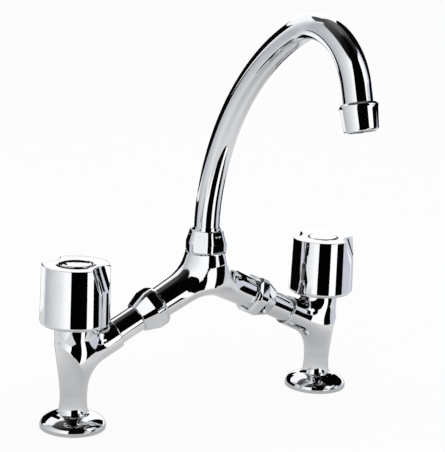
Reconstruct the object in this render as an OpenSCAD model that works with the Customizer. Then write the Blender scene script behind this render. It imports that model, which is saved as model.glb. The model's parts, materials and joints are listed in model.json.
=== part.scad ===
// Bridge basin mixer: two pillar valves, a Y-shaped yoke on sloping slide tubes and a swivel swan-neck spout.
// Lengths are in millimetres and angles in degrees. Z is up and the deck is z = 0.
// X runs along the bridge, and the user stands on the -Y side.

/* [Bridge] */
// distance between the two pillar axes
centre_distance = 200; // [190:1:220]
// fall of the yoke's arms and of the pillar branches below the level
branch_slope = 26; // [23:0.5:29]
// outside diameter of the slide tubes and of the spout tube
tube_d = 18; // [17:0.25:18.5]
// wall of the slide tubes and of the spout tube
tube_wall = 1; // [0.8:0.1:1.4]
// along an arm, from the yoke's centre to the union nut
arm_reach = 41; // [39:0.5:43]
// length of a union nut
union_nut_length = 17.8; // [16.5:0.1:19]
// size across the flats of the union nuts and of the swivel nut
nut_flats = 27; // [26.5:0.5:29]
// diameter of the yoke's neck under the swivel nut
neck_d = 26; // [25.5:0.5:27]
// height of the swivel nut
swivel_nut_height = 16; // [15:0.5:18]

/* [Pillars] */
// diameter of the deck flange
flange_d = 44; // [42:0.5:50]
// height of the flange's upright edge
flange_edge = 3.2; // [2.8:0.2:4]
// diameter of the stem at its waist
waist_d = 18.6; // [18.4:0.2:20]
// diameter of the stem at its top, under the handle
stem_top_d = 28; // [27:0.5:30]
// height of the pillar casting above the deck
stem_height = 76; // [75:0.5:80]
// height of the branch axis where it meets the pillar axis
branch_height = 46.5; // [45:0.5:48]
// wall of the branch round the slide tube
branch_wall = 1.7; // [1.5:0.1:2.2]
// along the branch, from the pillar axis to its mouth
branch_reach = 33.5; // [32.5:0.5:35]
// how far the valve opens
valve_lift = 3.5; // [2.5:0.25:4]

/* [Handles] */
// diameter of a handle near its lower edge
handle_d = 46.4; // [45:0.2:49]
// difference between the lower and the upper diameter of a handle
handle_taper = 1.4; // [0:0.2:2]
// height of a handle
handle_height = 40; // [39:0.5:43]
// how far a handle reaches down over the pillar
handle_lap = 4.4; // [3.6:0.2:5]
// depth of a finger scoop at the handle's top edge
scoop_depth = 6; // [4:0.25:6.5]
// radius of a finger scoop
scoop_radius = 18; // [15:0.5:22]
// lean of a finger scoop
scoop_tilt = 19.5; // [17:0.5:23]
// depth of the narrow groove below a finger scoop
groove_depth = 1.3; // [0.8:0.1:2]
// diameter of the round button in the handle's top
button_d = 21.5; // [18:0.5:24]
// turn of the left handle's scoops at rest, from the user's side
left_scoop_turn = 30; // [0:5:90]
// turn of the right handle's scoops at rest, from the user's side
right_scoop_turn = 40; // [0:5:90]

/* [Spout] */
// radius of the bend at the foot of the spout
foot_bend = 104; // [90:2:140]
// angle of the bend at the foot
foot_angle = 12; // [8:1:16]
// radius of the long bow
bow_bend = 176; // [160:2:200]
// angle of the long bow
bow_angle = 50.5; // [46:0.5:54]
// radius of the crown
crown_bend = 42.5; // [36:0.5:50]
// angle from straight up to the way the outlet points
outlet_angle = 163.5; // [156:0.5:172]
// straight end of the tube, after the crown
tube_end = 13.6; // [11:0.2:20]
// diameter of the aerator shell at its shoulder
aerator_d = 23.6; // [23.2:0.2:25]
// length of the aerator shell
aerator_length = 17; // [16.5:0.5:19]

/* [Hidden] */
$fn = 72;
// radial gap between pieces that are fixed together
fit = 0.03;
// gap between pieces that turn or slide on each other
run = 0.05;
// overlap that keeps a cut clear of a face
cut = 1;

tube_r = tube_d / 2;
bore_r = tube_r - tube_wall;
half_bridge = centre_distance / 2;
axis_length = half_bridge / cos(branch_slope);
bridge_height = branch_height + half_bridge * tan(branch_slope);
// turn between an upright axis and an arm or a branch
branch_turn = 90 - branch_slope;

// pillar casting
flange_r = flange_d / 2;
waist_r = waist_d / 2;
stem_top_r = stem_top_d / 2;
waist_height = 20;
dome_height = 9;
dome_r = 13.6;
dome_swell_r = 17.5;
dome_swell = 1.8;
stem_swell = 1.2;
stem_swell_height = 42;
stem_upright = 6;
// small bevels and rounded edges
edge_bevel = 0.4;
edge_round = 0.7;
mouth_bevel = 0.6;
branch_r = tube_r + branch_wall;
pillar_bend = 26;
pillar_bend_r = branch_r - 0.6;
socket_depth = 16.5;
socket_start = branch_reach - socket_depth;
seal_thickness = 2;
// bore of a half inch pipe thread
inlet_r = 9.3;
inlet_depth = 9;
inlet_relief = 1.5;
inlet_relief_r = inlet_r + 0.3;
waterway_r = 5.5;
chamber_r = 8.6;
seat_drop = 9;
seat_height = branch_height - seat_drop;
seat_edge = 2;
seat_r = 7.4;
bonnet_thread_r = 9.7;
bonnet_thread_length = 18;
recess_inner_r = 12;
recess_outer_r = 19;
recess_depth = 2;

// levels of the handle, of the insert in it and of the spindle
handle_bottom = stem_height - handle_lap;
handle_top = handle_bottom + handle_height;
insert_cover = 5.6;
insert_top = handle_top - insert_cover;
spindle_cover = 1.5;
spindle_top = insert_top - spindle_cover;
spindle_free_end = 9.5;
gland_top = spindle_top - spindle_free_end;

// headwork
washer_thickness = 1;
hexagon_height = 6;
hexagon_flats = 22;
hexagon_bevel = 0.3;
gland_r = 7.5;
skirt_length = 8;
skirt_r = chamber_r - 0.4;
bonnet_start = stem_height - bonnet_thread_length;
guide_r = 6;
shaft_r = 4;
spindle_depth = 16;
spindle_bottom = stem_height - spindle_depth;
spindle_collar = 4;
lead_thread_depth = 11;
screw_hole_depth = 9;
spline_r = 3.9;
spline_root_r = 3.5;
spline_teeth = 20;
spline_length = 8;
ring_r = 0.85;
ring_squeeze = 0.02;
ring_floor = 0.05;
ring_spacing = 4;
ring_drop = 5;
spindle_ring_levels = [gland_top - ring_drop - ring_spacing, gland_top - ring_drop];
clip_thickness = 0.9;
clip_groove = 0.7;
clip_width = 1.9;
clip_mouth = 3;
lead_screw_r = 2.5;
lead_screw_length = 8.5;
wing_width = 2.8;
wing_height = 3;
wing_top = bonnet_start - valve_lift - 0.5;
wing_r = skirt_r - 0.2;
washer_r = 6.8;
washer_height = 3;
washer_stud_r = 1.95;
carrier_plate = 2.2;
carrier_play = 0.7;
washer_bottom = seat_height + run;
washer_top = washer_bottom + washer_height;
washer_nut_flats = 7;
washer_nut_height = 2.4;

// handle
handle_r = handle_d / 2;
handle_top_r = handle_r - handle_taper / 2;
handle_edge = 2.4;
handle_edge_in = 1.6;
handle_wall = 4.2;
cavity_r = handle_r - handle_wall;
handle_roof = 10;
cavity_top = handle_top - handle_roof;
groove_r = 10;
boss_r = 9.5;
insert_r = 6.5;
insert_rise = 2;
insert_bottom = gland_top + insert_rise;
button_r = button_d / 2;
button_groove = 0.3;
button_depth = 3;
button_seat = handle_top - button_depth;
button_proud = 0.8;
button_round = 1.4;
screw_r = 1.95;
screw_length = 8.6;
screw_head_r = 3.6;
screw_head_height = 2.3;
screw_slot_depth = 1.3;
screw_slot_width = 0.8;
screw_slot_length = 4.4;

// yoke
neck_r = neck_d / 2;
neck_rise = 14.7;
neck_top = bridge_height + neck_rise;
arm_thread_r = tube_r + 1.5;
arm_end_r = arm_thread_r + 0.3;
arm_root_r = 12;
arm_thread_length = 9.8;
arm_socket = 15;
neck_bend = 20;
neck_bend_r = arm_root_r - 0.5;
crotch_bend = 30;
crotch_bend_r = arm_root_r - 0.2;
neck_ball_r = neck_r - 0.2;
boss_thread_r = neck_r - 0.8;
boss_thread_length = 9;
boss_top = neck_top + boss_thread_length;
spout_bore_r = 9.5;
spout_bore_rise = 2.3;
spout_bore_bottom = bridge_height + spout_bore_rise;
yoke_bore_r = 7.4;
yoke_hollow_r = 8;

// union nut and seal
nut_inner = axis_length - arm_reach;
arm_end = nut_inner - arm_thread_length;
seal_length = 3.6;
seal_r = arm_thread_r - 0.1;
seal_end_r = tube_r + 0.5;
seal_straight = 1.4;
tube_clearance = 0.1;
slide_play = 0.5;

// nuts
nut_bevel = 2;
nut_bevel_in = 0.7;
nut_corner_cut = 0.8;
nut_rim_cut = 0.4;
nut_shoulder_round = 3;
nut_end_round = 0.9;
union_nut_upright = 6;
union_nut_end_r = tube_r + 1;
swivel_nut_upright = 5.4;
// how far each nut happens to be turned where it is tight
left_nut_turn = -12;
right_nut_turn = 0;
swivel_nut_turn = 38;

// swivel joint and spout
bearing_thickness = 1;
collar_bottom = boss_top + bearing_thickness + run;
collar_thickness = 1.9;
collar_top = collar_bottom + collar_thickness;
nut_shoulder = collar_top + run + bearing_thickness;
nut_top = neck_top + swivel_nut_height;
collar_r = boss_thread_r - 0.3;
spigot_cup_r = 9.9;
swivel_nut_end_r = spigot_cup_r + 1.1;
spigot_bore_r = 6.5;
spigot_bottom = spout_bore_bottom + 0.4;
spigot_ring_rise = 6;
spigot_ring_spacing = 6;
spigot_ring_levels = [for (step = [0, 1]) spout_bore_bottom + spigot_ring_rise + step * spigot_ring_spacing];
bearing_gap = 0.1;
cup_floor = nut_shoulder;
cup_proud = 2;
cup_top = nut_top + cup_proud;
bow_start = foot_angle;
crown_start = foot_angle + bow_angle;
crown_angle = outlet_angle - crown_start;
joint_step = 0.05;
joint_lap = 0.5;
joint_turn = 0.16;

// aerator
bush_thread_r = 10;
bush_body = 6;
bush_shank = 6;
shell_lap = 4;
shell_lip = 1.2;
shell_r = aerator_d / 2;
shell_top_r = tube_r + 1.3;
shell_end_r = shell_r - 1.6;
shoulder_start = 1.5;
shoulder_end = 3.4;
aerator_washer_thickness = 1.4;
cartridge_r = 9.9;
cartridge_bore_r = 7;
cartridge_floor = 0.8;
screen_r = 8.4;
screen_thickness = 0.5;
screen_gap = 0.1;
outlet_r = 8.8;
// rings of outlet holes: how many and how far from the axis
outlet_rings = [[12, 6.3], [6, 3.4]];
outlet_hole_r = 0.9;

// points of a smooth curve from a to c that leaves and arrives along the lines to b
function curve(a, b, c, steps = 10) =
  [for (i = [0 : steps]) let (t = i / steps) (1 - t) * (1 - t) * a + 2 * t * (1 - t) * b + t * t * c];

// outline of a splined shaft, grown by a gap
function spline_outline(gap) =
  [for (i = [0 : 2 * spline_teeth - 1])
    let (r = (i % 2 == 0 ? spline_r : spline_root_r) + gap, a = i * 180 / spline_teeth) [r * cos(a), r * sin(a)]];

module ring(outer_r, inner_r, height) {
  difference() {
    cylinder(r = outer_r, h = height);
    translate([0, 0, -cut]) cylinder(r = inner_r, h = height + 2 * cut);
  }
}

module o_ring(middle_r, section_r) {
  rotate_extrude() translate([middle_r, 0]) circle(r = section_r);
}

// round bar bent in the X-Z plane, about the origin, from the start angle on
module bent_bar(bar_r, bend_r, start, sweep) {
  rotate([90, 0, 0]) rotate([0, 0, start])
    rotate_extrude(angle = sweep) translate([bend_r, 0]) circle(r = bar_r);
}

// the left pillar's place, and the right pillar's place as its mirror image
module left() {
  translate([-half_bridge, 0, 0]) children();
}

module right() {
  translate([half_bridge, 0, 0]) mirror([1, 0, 0]) children();
}

// along the branch axis of a pillar at the origin, with Z pointing out of the branch
module along_branch(distance) {
  translate([0, 0, branch_height]) rotate([0, branch_turn, 0]) translate([0, 0, distance]) children();
}

// along an arm of the yoke, with Z pointing away from the yoke's centre
module along_arm(distance) {
  translate([0, 0, bridge_height]) rotate([0, 180 - branch_turn, 0]) translate([0, 0, distance]) children();
}

// hexagon nut with a bevel at z = 0, upright flats, and flats that close in on the far end
module tapered_nut(length, upright, end_r) {
  half = nut_flats / 2;
  foot = half - nut_bevel_in;
  kink = nut_bevel + upright;
  intersection_for (turn = [0, 60, 120]) {
    rotate([90, 0, turn]) translate([0, 0, -nut_flats])
      linear_extrude(2 * nut_flats)
        polygon([[-foot, 0], [foot, 0], [half, nut_bevel], [half, kink], [end_r, length], [-end_r, length],
          [-half, kink], [-half, nut_bevel]]);
  }
}

// the same nut with its corners turned round
module rounded_nut(length, upright, end_r) {
  half = nut_flats / 2;
  corner = half / cos(30) - nut_corner_cut;
  shoulder = nut_bevel + upright + cut;
  intersection() {
    tapered_nut(length, upright, end_r);
    rotate_extrude()
      polygon(concat([[0, 0]],
        curve([half - nut_rim_cut, 0], [corner, nut_bevel * 0.6], [corner, nut_bevel * 1.7], 5),
        curve([corner, shoulder], [corner, shoulder + nut_shoulder_round], [end_r + nut_end_round, length], 6),
        [[0, length]]));
  }
}

module pillar_outline() {
  edge_top = flange_edge + 0.2;
  stem_top = stem_height - stem_upright;
  polygon(concat([[0, 0], [flange_r - edge_bevel, 0], [flange_r, edge_bevel]],
    curve([flange_r, flange_edge - edge_round], [flange_r, flange_edge], [flange_r - edge_round, edge_top], 4),
    curve([flange_r - edge_round, edge_top], [dome_swell_r, dome_height - dome_swell], [dome_r, dome_height], 7),
    curve([dome_r, dome_height], [waist_r - 0.2, dome_height + 2], [waist_r, waist_height], 12),
    curve([waist_r, waist_height], [waist_r + stem_swell, stem_swell_height], [stem_top_r, stem_top], 12),
    [[stem_top_r, stem_height - edge_bevel], [stem_top_r - edge_bevel, stem_height], [0, stem_height]]));
}

module pillar_body() {
  color("silver") difference() {
    union() {
      rotate_extrude() pillar_outline();
      along_branch(0) cylinder(r = branch_r, h = branch_reach - mouth_bevel);
      along_branch(branch_reach - mouth_bevel)
        cylinder(r1 = branch_r, r2 = branch_r - edge_bevel, h = mouth_bevel);
      translate([pillar_bend, 0, branch_height - pillar_bend * tan(branch_turn / 2)])
        bent_bar(pillar_bend_r, pillar_bend, 180 - branch_turn, branch_turn);
    }
    translate([0, 0, -cut]) cylinder(r = inlet_r, h = inlet_depth + cut);
    translate([0, 0, inlet_depth]) cylinder(r = inlet_relief_r, h = inlet_relief);
    cylinder(r = waterway_r, h = seat_height + cut);
    translate([0, 0, seat_height]) cylinder(r = chamber_r, h = stem_height);
    translate([0, 0, seat_height - seat_edge]) ring(chamber_r, seat_r, seat_edge + cut);
    translate([0, 0, bonnet_start]) cylinder(r = bonnet_thread_r, h = stem_height);
    along_branch(0) cylinder(r = bore_r, h = branch_reach + cut);
    along_branch(socket_start) cylinder(r = tube_r + fit, h = socket_depth + cut);
    translate([0, 0, -cut]) ring(recess_outer_r + run, recess_inner_r - run, recess_depth + cut);
  }
}

module base_seal() {
  color("dimgray") ring(recess_outer_r, recess_inner_r, recess_depth);
}

module bonnet() {
  washer_level = stem_height + washer_thickness;
  flat_r = hexagon_flats / 2;
  color("goldenrod") difference() {
    union() {
      translate([0, 0, bonnet_start - skirt_length]) cylinder(r = skirt_r, h = skirt_length);
      translate([0, 0, bonnet_start]) cylinder(r = bonnet_thread_r - fit, h = washer_level - bonnet_start);
      translate([0, 0, washer_level]) intersection() {
        cylinder(r = flat_r / cos(30), h = hexagon_height, $fn = 6);
        cylinder(r1 = flat_r + 4, r2 = flat_r + hexagon_bevel, h = hexagon_height);
      }
      translate([0, 0, washer_level]) cylinder(r = gland_r, h = gland_top - washer_level);
    }
    translate([0, 0, bonnet_start - skirt_length - cut])
      cylinder(r = guide_r, h = spindle_bottom + spindle_collar + run - bonnet_start + skirt_length + cut);
    cylinder(r = shaft_r + run, h = handle_top);
    translate([-chamber_r, -wing_width / 2 - run, bonnet_start - skirt_length - cut])
      cube([2 * chamber_r, wing_width + 2 * run, skirt_length + cut]);
  }
}

module bonnet_washer() {
  color("firebrick") translate([0, 0, stem_height])
    ring(hexagon_flats / 2 - 0.1, bonnet_thread_r, washer_thickness);
}

// groove for an O-ring round a shaft at z = 0
module ring_groove(round_r, floor_r) {
  translate([0, 0, -ring_r - run]) ring(round_r + cut, floor_r, 2 * ring_r + 2 * run);
}

module spindle() {
  color("gold") difference() {
    union() {
      translate([0, 0, spindle_bottom]) cylinder(r = guide_r - run, h = spindle_collar);
      translate([0, 0, spindle_bottom]) cylinder(r = shaft_r, h = spindle_top - spline_length - spindle_bottom);
      translate([0, 0, spindle_bottom]) linear_extrude(spindle_top - spindle_bottom) polygon(spline_outline(0));
    }
    translate([0, 0, spindle_bottom - cut]) cylinder(r = lead_screw_r + run, h = lead_thread_depth + cut);
    for (level = spindle_ring_levels) {
      translate([0, 0, level]) ring_groove(shaft_r, shaft_r + run - 2 * ring_r - ring_floor);
    }
    translate([0, 0, gland_top + run]) ring(shaft_r + cut, shaft_r - clip_groove, clip_thickness + run);
    translate([0, 0, spindle_top - screw_hole_depth]) cylinder(r = screw_r + fit, h = screw_hole_depth + cut);
  }
}

module spindle_o_rings() {
  color("black") for (level = spindle_ring_levels) {
    translate([0, 0, level]) o_ring(shaft_r + run - ring_squeeze - ring_r, ring_r);
  }
}

module spindle_clip() {
  color("darkgray") translate([0, 0, gland_top + run]) difference() {
    ring(shaft_r + clip_width, shaft_r - clip_groove + run, clip_thickness);
    translate([0, -clip_mouth / 2, -cut]) cube([shaft_r + clip_width + cut, clip_mouth, clip_thickness + 2 * cut]);
  }
}

module valve_carrier() {
  carrier_top = spindle_bottom - valve_lift - carrier_play;
  stud_bottom = washer_bottom - washer_nut_height - edge_bevel;
  color("orange") {
    translate([0, 0, washer_top]) cylinder(r = washer_r + hexagon_bevel, h = carrier_plate);
    translate([0, 0, washer_top]) cylinder(r = guide_r - run, h = carrier_top - washer_top);
    translate([0, 0, carrier_top - cut]) cylinder(r = lead_screw_r, h = lead_screw_length);
    translate([0, 0, stud_bottom]) cylinder(r = washer_stud_r, h = washer_top + cut - stud_bottom);
    translate([-wing_r, -wing_width / 2, wing_top - wing_height]) cube([2 * wing_r, wing_width, wing_height]);
  }
}

module valve_washer() {
  color("black") translate([0, 0, washer_bottom]) ring(washer_r, washer_stud_r + fit, washer_height);
}

module valve_washer_nut() {
  color("gold") translate([0, 0, washer_bottom - washer_nut_height]) difference() {
    cylinder(d = washer_nut_flats / cos(30), h = washer_nut_height, $fn = 6);
    translate([0, 0, -cut]) cylinder(r = washer_stud_r + fit, h = washer_nut_height + 2 * cut);
  }
}

module handle_outline() {
  foot_r = handle_r - handle_edge_in;
  polygon(concat([[0, handle_bottom]],
    curve([foot_r, handle_bottom], [handle_r - 0.3, handle_bottom + 0.5],
      [handle_r, handle_bottom + handle_edge], 5),
    [[handle_top_r, handle_top - edge_bevel], [handle_top_r - edge_bevel, handle_top], [0, handle_top]]));
}

// a finger scoop that leans out of the handle, and the narrow groove below it
module finger_scoop() {
  translate([handle_top_r - scoop_depth, 0, handle_top]) rotate([0, -scoop_tilt, 0])
    translate([scoop_radius, 0, -handle_height]) cylinder(r = scoop_radius, h = 2 * handle_height);
  translate([handle_top_r - groove_depth + groove_r, 0, handle_bottom - cut])
    cylinder(r = groove_r, h = handle_height + 2 * cut);
}

module handle() {
  color("gainsboro") difference() {
    rotate_extrude() handle_outline();
    difference() {
      translate([0, 0, handle_bottom - cut]) cylinder(r = cavity_r, h = cavity_top - handle_bottom + cut);
      translate([0, 0, insert_bottom]) cylinder(r = boss_r, h = handle_height);
    }
    translate([0, 0, handle_bottom]) cylinder(r = insert_r + fit, h = insert_top - handle_bottom);
    translate([0, 0, handle_bottom]) cylinder(r = screw_head_r + edge_bevel, h = handle_height + cut);
    translate([0, 0, button_seat]) cylinder(r = button_r + button_groove, h = button_depth + cut);
    finger_scoop();
    rotate([0, 0, 180]) finger_scoop();
  }
}

module handle_insert() {
  spline_depth = spindle_top - insert_bottom + hexagon_bevel;
  color("ivory") difference() {
    translate([0, 0, insert_bottom]) cylinder(r = insert_r, h = insert_top - insert_bottom);
    translate([0, 0, insert_bottom - cut]) linear_extrude(spline_depth + cut) polygon(spline_outline(fit));
    translate([0, 0, insert_bottom]) cylinder(r = screw_r + 0.2, h = handle_height);
  }
}

module handle_screw() {
  slot_floor = insert_top + screw_head_height - screw_slot_depth;
  color("darkgray") difference() {
    union() {
      translate([0, 0, insert_top - screw_length]) cylinder(r = screw_r, h = screw_length + edge_bevel);
      translate([0, 0, insert_top]) cylinder(r = screw_head_r, h = screw_head_height);
    }
    for (turn = [0, 90]) {
      rotate([0, 0, turn]) translate([-screw_slot_length / 2, -screw_slot_width / 2, slot_floor])
        cube([screw_slot_length, screw_slot_width, screw_head_height]);
    }
  }
}

module handle_button() {
  top = handle_top + button_proud;
  color("white") rotate_extrude()
    polygon(concat([[0, button_seat], [button_r, button_seat]],
      curve([button_r, handle_top + 0.1], [button_r, top], [button_r - button_round, top], 5), [[0, top + 0.1]]));
}

module slide_tube() {
  start = socket_start + seal_thickness;
  color("silver") along_branch(start) ring(tube_r, bore_r, arm_end + arm_socket - slide_play - start);
}

module slide_tube_seal() {
  color("black") along_branch(socket_start) ring(tube_r, bore_r, seal_thickness);
}

module union_seal_outline(gap) {
  inner_r = tube_r + fit - gap;
  end = seal_length + gap;
  outer_r = seal_r + gap;
  polygon([[inner_r, 0], [outer_r, 0], [outer_r, seal_straight], [seal_end_r + gap, end], [inner_r, end]]);
}

module union_seal() {
  color("black") along_branch(arm_end) mirror([0, 0, 1]) rotate_extrude() union_seal_outline(0);
}

module union_nut(turn) {
  color("silver") along_branch(nut_inner) mirror([0, 0, 1]) difference() {
    rotate([0, 0, turn]) rounded_nut(union_nut_length, union_nut_upright, union_nut_end_r);
    translate([0, 0, -cut]) cylinder(r = arm_thread_r + fit, h = arm_thread_length + cut);
    translate([0, 0, arm_thread_length]) rotate_extrude() union_seal_outline(fit);
    cylinder(r = tube_r + tube_clearance, h = union_nut_length + cut);
  }
}

module yoke_half_solid() {
  along_arm(0) cylinder(r1 = arm_root_r, r2 = arm_end_r, h = arm_reach);
  along_arm(arm_reach - cut) cylinder(r = arm_thread_r, h = arm_thread_length + cut);
  translate([neck_bend, 0, bridge_height + neck_bend * tan(branch_turn / 2)])
    bent_bar(neck_bend_r, neck_bend, 180, branch_turn);
}

module yoke_half_bore() {
  along_arm(yoke_hollow_r / 2) cylinder(r = yoke_bore_r, h = arm_reach - yoke_hollow_r / 2);
  along_arm(arm_reach + arm_thread_length - arm_socket) cylinder(r = tube_r + fit, h = arm_socket + cut);
}

module bridge_yoke() {
  color("silver") difference() {
    union() {
      yoke_half_solid();
      mirror([1, 0, 0]) yoke_half_solid();
      translate([0, 0, bridge_height - crotch_bend / cos(branch_slope)])
        bent_bar(crotch_bend_r, crotch_bend, branch_turn, 2 * branch_slope);
      translate([0, 0, bridge_height]) sphere(r = neck_ball_r);
      translate([0, 0, bridge_height]) cylinder(r = neck_r, h = neck_top - bridge_height);
      translate([0, 0, bridge_height]) cylinder(r = boss_thread_r, h = boss_top - bridge_height);
    }
    yoke_half_bore();
    mirror([1, 0, 0]) yoke_half_bore();
    translate([0, 0, bridge_height]) sphere(r = yoke_hollow_r);
    translate([0, 0, spout_bore_bottom]) cylinder(r = spout_bore_r, h = nut_top);
  }
}

module swivel_nut() {
  color("silver") translate([0, 0, neck_top]) difference() {
    rotate([0, 0, swivel_nut_turn]) rounded_nut(swivel_nut_height, swivel_nut_upright, swivel_nut_end_r);
    translate([0, 0, -cut]) cylinder(r = boss_thread_r + fit, h = nut_shoulder - neck_top + cut);
    cylinder(r = spigot_cup_r + run, h = swivel_nut_height + cut);
  }
}

module swivel_bearing_rings() {
  color("white") {
    translate([0, 0, boss_top]) ring(boss_thread_r - bearing_gap, spout_bore_r + bearing_gap, bearing_thickness);
    translate([0, 0, nut_shoulder - bearing_thickness])
      ring(boss_thread_r - bearing_gap, spigot_cup_r + run, bearing_thickness);
  }
}

module spout_spigot() {
  color("goldenrod") difference() {
    union() {
      translate([0, 0, spigot_bottom])
        cylinder(r = spout_bore_r - run, h = collar_bottom + edge_bevel - spigot_bottom);
      translate([0, 0, collar_bottom]) cylinder(r = collar_r, h = collar_top - collar_bottom);
      translate([0, 0, collar_bottom]) cylinder(r = spigot_cup_r, h = cup_top - collar_bottom);
    }
    cylinder(r = spigot_bore_r, h = cup_top + cut);
    translate([0, 0, cup_floor]) cylinder(r = tube_r + fit, h = cup_top);
    for (level = spigot_ring_levels) {
      translate([0, 0, level]) ring_groove(spout_bore_r, spout_bore_r - 2 * ring_r - ring_floor);
    }
  }
}

module spout_o_rings() {
  color("black") for (level = spigot_ring_levels) {
    translate([0, 0, level]) o_ring(spout_bore_r - ring_squeeze - ring_r, ring_r);
  }
}

// points of the spout's centre line, at the ends of its three bends
function bend_end(start, bend_r, from, to) =
  start + bend_r * [cos(from) - cos(to), sin(to) - sin(from)];

foot_point = [0, cup_top];
bow_point = bend_end(foot_point, foot_bend, 0, bow_start);
crown_point = bend_end(bow_point, bow_bend, bow_start, crown_start);
outlet_point = bend_end(crown_point, crown_bend, crown_start, outlet_angle);

// one bend of the spout, in the X-Z plane, that starts at a point with its heading from straight up
module spout_bend(point, bar_r, bend_r, heading, sweep) {
  translate([point[0] + bend_r * cos(heading), 0, point[1] - bend_r * sin(heading)])
    bent_bar(bar_r, bend_r, 180 - heading - sweep, sweep);
}

// the spout reaches towards the user
module towards_user() {
  rotate([0, 0, -90]) children();
}

// along the outlet, with Z pointing out of it and z = 0 at the end of the tube
module along_outlet(distance) {
  towards_user() translate([outlet_point[0], 0, outlet_point[1]]) rotate([0, outlet_angle, 0])
    translate([0, 0, tube_end + distance]) children();
}

// solid bar along the spout's centre line; the bends are a hair thicker than what they run into
module spout_path(bar_r, over) {
  bend_r = bar_r + joint_step;
  translate([0, 0, cup_floor - over]) cylinder(r = bar_r, h = cup_top - cup_floor + over + joint_lap);
  spout_bend(foot_point, bend_r, foot_bend, 0, foot_angle);
  spout_bend(bow_point, bar_r, bow_bend, bow_start - joint_turn, bow_angle + 2 * joint_turn);
  spout_bend(crown_point, bend_r, crown_bend, crown_start, crown_angle);
  translate([outlet_point[0], 0, outlet_point[1]]) rotate([0, outlet_angle, 0]) translate([0, 0, -joint_lap])
    cylinder(r = bar_r, h = tube_end + over + joint_lap);
}

module spout_tube() {
  color("silver") towards_user() difference() {
    spout_path(tube_r, 0);
    spout_path(bore_r, cut);
  }
}

module spout_end_bush() {
  color("goldenrod") difference() {
    union() {
      along_outlet(-bush_shank) cylinder(r = bore_r - fit, h = bush_shank + cut);
      along_outlet(0) cylinder(r = bush_thread_r, h = bush_body);
    }
    along_outlet(-bush_shank - cut) cylinder(r = spigot_bore_r, h = bush_shank + bush_body + 2 * cut);
  }
}

module aerator_outline() {
  polygon([[0, 0], [shell_top_r, 0], [shell_r, shoulder_start], [shell_r, shoulder_end],
    [shell_end_r + edge_round, aerator_length - edge_round], [shell_end_r, aerator_length], [0, aerator_length]]);
}

module aerator_shell() {
  color("silver") along_outlet(-shell_lap) difference() {
    rotate_extrude() aerator_outline();
    translate([0, 0, -cut]) cylinder(r = tube_r + tube_clearance, h = shell_lap + 2 * cut);
    translate([0, 0, shell_lap]) cylinder(r = bush_thread_r + fit, h = aerator_length - shell_lap - shell_lip);
    cylinder(r = outlet_r, h = aerator_length + cut);
  }
}

module aerator_washer() {
  color("black") along_outlet(bush_body) ring(cartridge_r, cartridge_bore_r, aerator_washer_thickness);
}

// distances from the end of the tube
cartridge_start = bush_body + aerator_washer_thickness;
cartridge_end = aerator_length - shell_lap - shell_lip;
screens_start = cartridge_start + cartridge_floor;
plate_start = screens_start + 2 * (screen_thickness + screen_gap);

module aerator_cartridge() {
  color("whitesmoke") difference() {
    along_outlet(cartridge_start) cylinder(r = cartridge_r, h = cartridge_end - cartridge_start);
    along_outlet(cartridge_start - cut) cylinder(r = cartridge_bore_r, h = cartridge_end);
    along_outlet(screens_start) cylinder(r = screen_r + fit, h = cartridge_end);
  }
}

module aerator_screens() {
  color("lightgray") for (step = [0, screen_thickness + screen_gap]) {
    along_outlet(screens_start + step) cylinder(r = screen_r, h = screen_thickness);
  }
}

module aerator_outlet_plate() {
  thickness = cartridge_end - plate_start;
  color("whitesmoke") along_outlet(plate_start) difference() {
    cylinder(r = screen_r, h = thickness);
    for (holes = outlet_rings) {
      for (hole = [1 : holes[0]]) {
        rotate([0, 0, hole * 360 / holes[0]]) translate([holes[1], 0, -cut])
          cylinder(r = outlet_hole_r, h = thickness + 2 * cut);
      }
    }
  }
}

// a handle's scoops are turned to their place at rest
module left_turned() {
  left() rotate([0, 0, left_scoop_turn - 90]) children();
}

module right_turned() {
  translate([half_bridge, 0, 0]) rotate([0, 0, right_scoop_turn - 90]) children();
}

left() pillar_body();  // left_pillar_body
left() base_seal();  // left_base_seal
left() bonnet();  // left_bonnet
left() bonnet_washer();  // left_bonnet_washer
left() spindle();  // left_spindle
left() spindle_o_rings();  // left_spindle_o_rings
left() spindle_clip();  // left_spindle_clip
left() valve_carrier();  // left_valve_carrier
left() valve_washer();  // left_valve_washer
left() valve_washer_nut();  // left_valve_washer_nut
left_turned() handle();  // left_handle
left() handle_insert();  // left_handle_insert
left() handle_screw();  // left_handle_screw
left() handle_button();  // left_handle_button
left() slide_tube();  // left_slide_tube
left() slide_tube_seal();  // left_slide_tube_seal
left() union_nut(left_nut_turn);  // left_union_nut
left() union_seal();  // left_union_seal
right() pillar_body();  // right_pillar_body
right() base_seal();  // right_base_seal
right() bonnet();  // right_bonnet
right() bonnet_washer();  // right_bonnet_washer
right() spindle();  // right_spindle
right() spindle_o_rings();  // right_spindle_o_rings
right() spindle_clip();  // right_spindle_clip
right() valve_carrier();  // right_valve_carrier
right() valve_washer();  // right_valve_washer
right() valve_washer_nut();  // right_valve_washer_nut
right_turned() handle();  // right_handle
right() handle_insert();  // right_handle_insert
right() handle_screw();  // right_handle_screw
right() handle_button();  // right_handle_button
right() slide_tube();  // right_slide_tube
right() slide_tube_seal();  // right_slide_tube_seal
right() union_nut(right_nut_turn);  // right_union_nut
right() union_seal();  // right_union_seal
bridge_yoke();
swivel_nut();
swivel_bearing_rings();
spout_spigot();
spout_o_rings();
spout_tube();
spout_end_bush();
aerator_shell();
aerator_washer();
aerator_cartridge();
aerator_screens();
aerator_outlet_plate();
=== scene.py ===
# %% [markdown]
# # A chromed bridge mixer for a basin
# Two upright pillar valves carry a Y-shaped yoke on two sloping tubes, and one swan-neck spout turns on the
# yoke. Nearly all that shows is chromium plate, and a mirror gives away every facet. The CAD model therefore
# says where each piece is and how large it is, and this lesson gives the plated pieces smooth skins of the
# same size.

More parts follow.
